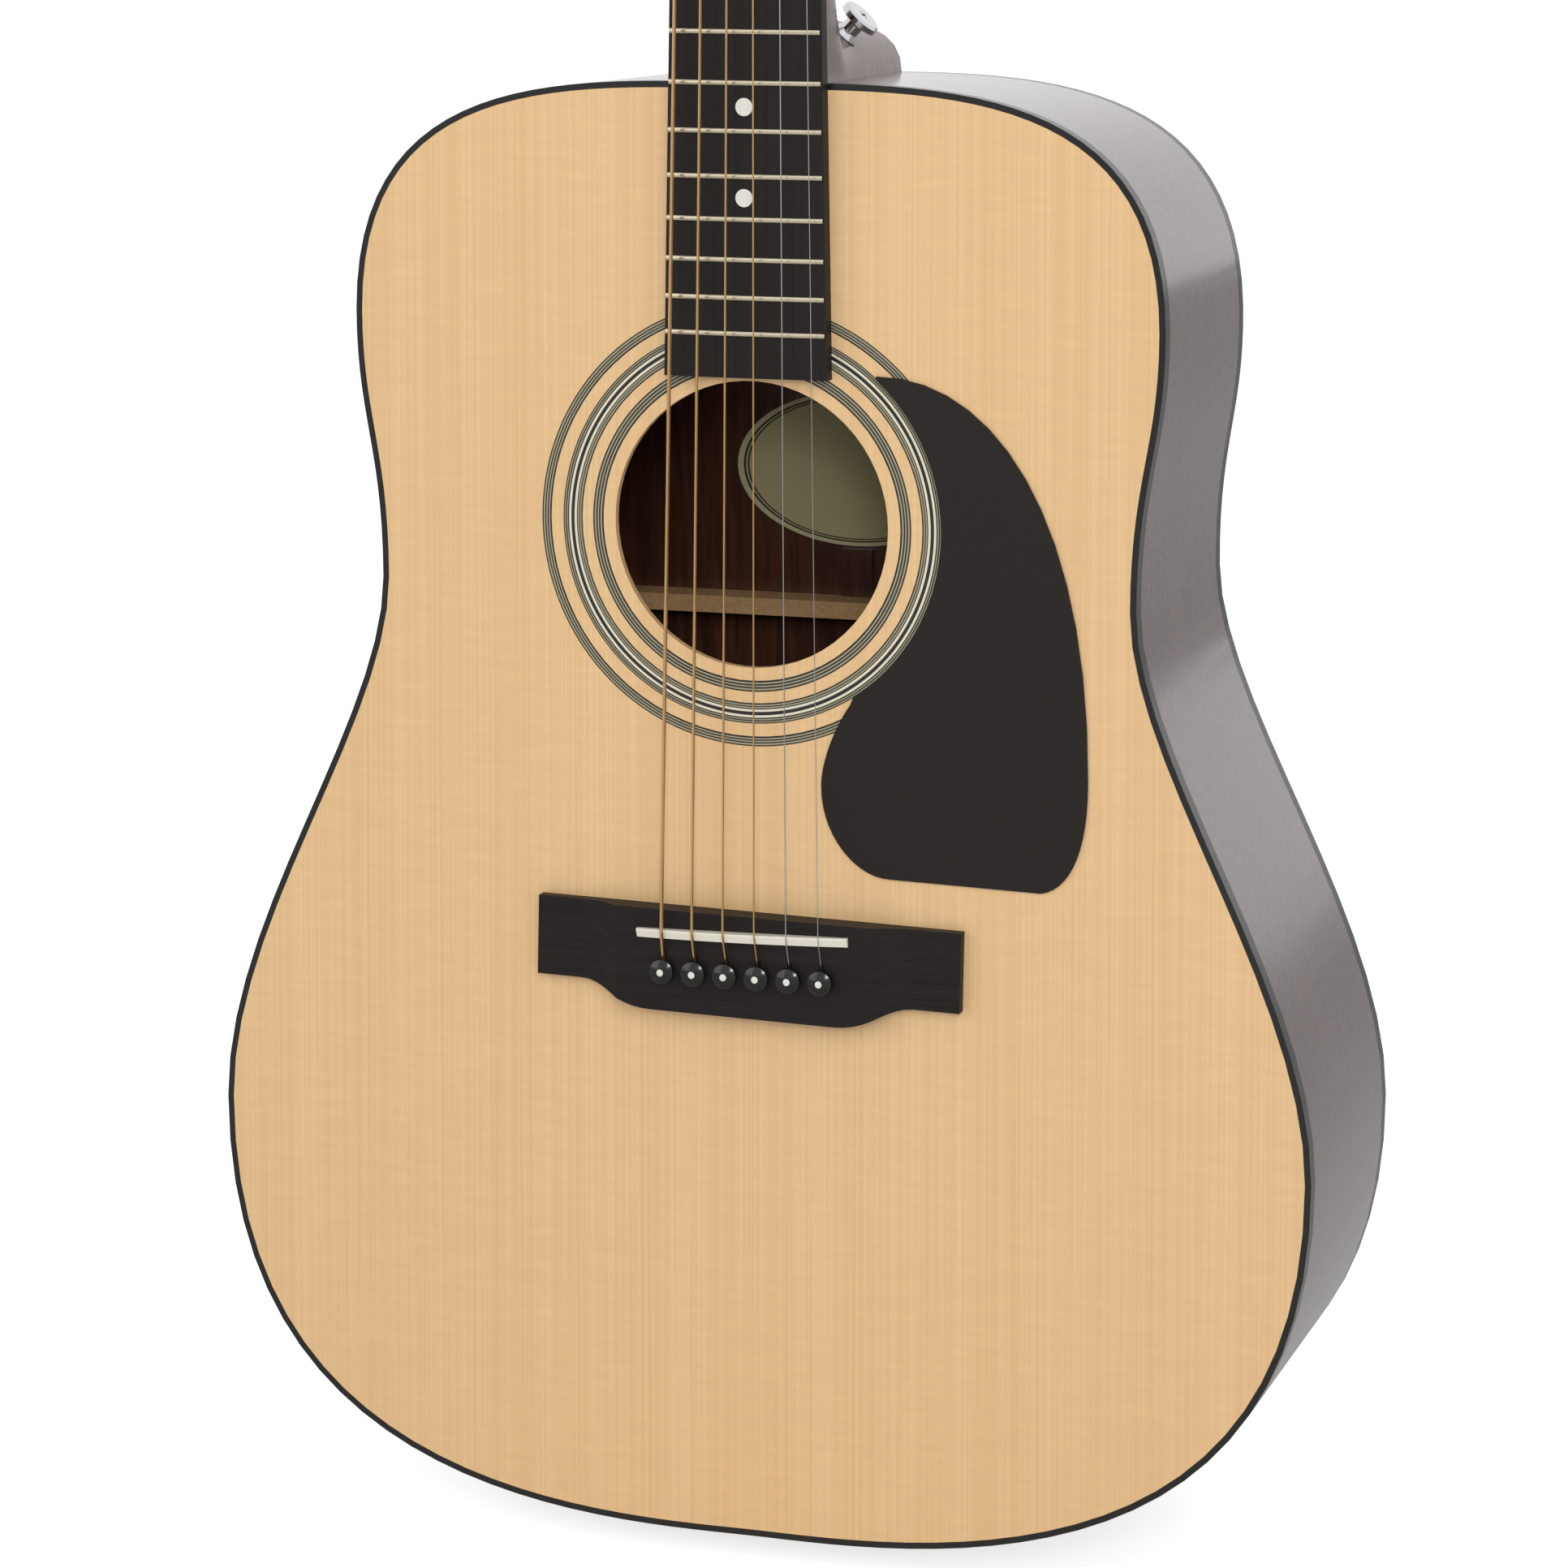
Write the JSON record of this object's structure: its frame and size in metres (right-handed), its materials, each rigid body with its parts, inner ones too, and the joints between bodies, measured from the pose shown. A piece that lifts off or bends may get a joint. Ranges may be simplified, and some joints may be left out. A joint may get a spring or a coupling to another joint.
{
  "type": "acoustic guitar",
  "caption": "Steel-string acoustic guitar with a dreadnought body, soundhole with ringed rosette, pickguard, pin bridge, fretted neck and slanted headstock with geared tuners.",
  "frame": {"origin": "middle of the rim of the tail strap button, on its axis", "axes": "+Z from the tail to the headstock, +X to the treble side, +Y from the soundboard to the back"},
  "size_m": [0.393, 0.1372, 1.0619],
  "materials": {
    "spruce_top": "satin lacquer",
    "dark_wood": "gloss lacquer",
    "mahogany": "satin lacquer",
    "pale_wood": "bare",
    "ebony_wood": "oiled",
    "black_plastic": "gloss",
    "rosette_ply": "lacquered",
    "guard_plastic": "gloss",
    "bone_plastic": "satin",
    "pin_plastic": "satin",
    "white_plastic": "polished",
    "paper": "matt paper",
    "nickel_silver": "polished",
    "chrome_metal": "polished",
    "steel": "bright",
    "bronze": "wound",
    "brass_metal": "plain"
  },
  "bodies": {
    "guitar": {"soundboard": "spruce_top", "back": "dark_wood", "side_bass": "dark_wood", "side_treble": "dark_wood", "neck_block": "mahogany", "tail_block": "mahogany", "top_lining": "pale_wood", "back_lining": "pale_wood", "top_binding": "black_plastic", "back_binding": "black_plastic", "rosette": "rosette_ply", "pickguard": "guard_plastic", "bridge": "ebony_wood", "saddle": "bone_plastic", "bridge_plate": "dark_wood", "x_brace_bass": "pale_wood", "x_brace_treble": "pale_wood", "tone_bars": "pale_wood", "finger_braces": "pale_wood", "upper_brace": "pale_wood", "back_braces": "pale_wood", "back_strip": "pale_wood", "label": "paper", "strap_button_tail": "chrome_metal", "strap_button_heel": "chrome_metal", "strap_button_screws": "chrome_metal", "neck": "mahogany", "fingerboard": "ebony_wood", "frets": "nickel_silver", "fret_markers": "white_plastic", "nut": "bone_plastic", "headstock_veneer": "black_plastic", "truss_rod": "steel", "truss_rod_cover": "black_plastic", "truss_cover_screws": "chrome_metal", "tuner_housings": "chrome_metal", "tuner_bushings": "chrome_metal", "tuner_screws": "chrome_metal", "wound_strings": "bronze", "plain_strings": "steel", "ball_ends": "brass_metal"},
    "tuner_post_1": {"tuner_post_1": "chrome_metal"},
    "tuner_post_2": {"tuner_post_2": "chrome_metal"},
    "tuner_post_3": {"tuner_post_3": "chrome_metal"},
    "tuner_post_4": {"tuner_post_4": "chrome_metal"},
    "tuner_post_5": {"tuner_post_5": "chrome_metal"},
    "tuner_post_6": {"tuner_post_6": "chrome_metal"},
    "tuner_knob_1": {"tuner_knob_1": "chrome_metal"},
    "tuner_knob_2": {"tuner_knob_2": "chrome_metal"},
    "tuner_knob_3": {"tuner_knob_3": "chrome_metal"},
    "tuner_knob_4": {"tuner_knob_4": "chrome_metal"},
    "tuner_knob_5": {"tuner_knob_5": "chrome_metal"},
    "tuner_knob_6": {"tuner_knob_6": "chrome_metal"},
    "bridge_pin_1": {"bridge_pin_1": "pin_plastic"},
    "bridge_pin_2": {"bridge_pin_2": "pin_plastic"},
    "bridge_pin_3": {"bridge_pin_3": "pin_plastic"},
    "bridge_pin_4": {"bridge_pin_4": "pin_plastic"},
    "bridge_pin_5": {"bridge_pin_5": "pin_plastic"},
    "bridge_pin_6": {"bridge_pin_6": "pin_plastic"},
    "truss_rod_nut": {"truss_rod_nut": "brass_metal"}
  },
  "joints": [
    {"name": "knob_1_turn", "type": "hinge", "parent": "guitar", "child": "tuner_knob_1", "pos_m": [-0.0214, -0.03362, 0.9238], "axis": [-1, 0, 0], "continuous": true},
    {"name": "post_1_turn", "type": "hinge", "parent": "guitar", "child": "tuner_post_1", "pos_m": [-0.0214, -0.03899, 0.91745], "axis": [0, 0.9744, -0.225], "continuous": true},
    {"name": "knob_2_turn", "type": "hinge", "parent": "guitar", "child": "tuner_knob_2", "pos_m": [-0.02235, -0.02417, 0.96472], "axis": [-1, 0, 0], "continuous": true},
    {"name": "post_2_turn", "type": "hinge", "parent": "guitar", "child": "tuner_post_2", "pos_m": [-0.02235, -0.02954, 0.95837], "axis": [0, 0.9744, -0.225], "continuous": true},
    {"name": "knob_3_turn", "type": "hinge", "parent": "guitar", "child": "tuner_knob_3", "pos_m": [-0.02329, -0.01472, 1.00565], "axis": [-1, 0, 0], "continuous": true},
    {"name": "post_3_turn", "type": "hinge", "parent": "guitar", "child": "tuner_post_3", "pos_m": [-0.02329, -0.02009, 0.99929], "axis": [0, 0.9744, -0.225], "continuous": true},
    {"name": "knob_4_turn", "type": "hinge", "parent": "guitar", "child": "tuner_knob_4", "pos_m": [0.02329, -0.01472, 1.00565], "axis": [1, 0, 0], "continuous": true},
    {"name": "post_4_turn", "type": "hinge", "parent": "guitar", "child": "tuner_post_4", "pos_m": [0.02329, -0.02009, 0.99929], "axis": [0, 0.9744, -0.225], "continuous": true},
    {"name": "knob_5_turn", "type": "hinge", "parent": "guitar", "child": "tuner_knob_5", "pos_m": [0.02235, -0.02417, 0.96472], "axis": [1, 0, 0], "continuous": true},
    {"name": "post_5_turn", "type": "hinge", "parent": "guitar", "child": "tuner_post_5", "pos_m": [0.02235, -0.02954, 0.95837], "axis": [0, 0.9744, -0.225], "continuous": true},
    {"name": "knob_6_turn", "type": "hinge", "parent": "guitar", "child": "tuner_knob_6", "pos_m": [0.0214, -0.03362, 0.9238], "axis": [1, 0, 0], "continuous": true},
    {"name": "post_6_turn", "type": "hinge", "parent": "guitar", "child": "tuner_post_6", "pos_m": [0.0214, -0.03899, 0.91745], "axis": [0, 0.9744, -0.225], "continuous": true},
    {"name": "pin_1_pull", "type": "slide", "parent": "guitar", "child": "bridge_pin_1", "axis": [0, -1, 0], "range_m": [0, 0.03]},
    {"name": "pin_2_pull", "type": "slide", "parent": "guitar", "child": "bridge_pin_2", "axis": [0, -1, 0], "range_m": [0, 0.03]},
    {"name": "pin_3_pull", "type": "slide", "parent": "guitar", "child": "bridge_pin_3", "axis": [0, -1, 0], "range_m": [0, 0.03]},
    {"name": "pin_4_pull", "type": "slide", "parent": "guitar", "child": "bridge_pin_4", "axis": [0, -1, 0], "range_m": [0, 0.03]},
    {"name": "pin_5_pull", "type": "slide", "parent": "guitar", "child": "bridge_pin_5", "axis": [0, -1, 0], "range_m": [0, 0.03]},
    {"name": "pin_6_pull", "type": "slide", "parent": "guitar", "child": "bridge_pin_6", "axis": [0, -1, 0], "range_m": [0, 0.03]},
    {"name": "truss_nut_turn", "type": "hinge", "parent": "guitar", "child": "truss_rod_nut", "pos_m": [0, -0.056, 0.87805], "axis": [0, 0, 1], "range_deg": [-180, 180]}
  ],
  "couplings": [
    {"joint": "post_1_turn", "follows": "knob_1_turn", "ratio": -0.071429},
    {"joint": "post_2_turn", "follows": "knob_2_turn", "ratio": -0.071429},
    {"joint": "post_3_turn", "follows": "knob_3_turn", "ratio": -0.071429},
    {"joint": "post_4_turn", "follows": "knob_4_turn", "ratio": -0.071429},
    {"joint": "post_5_turn", "follows": "knob_5_turn", "ratio": -0.071429},
    {"joint": "post_6_turn", "follows": "knob_6_turn", "ratio": -0.071429}
  ]
}
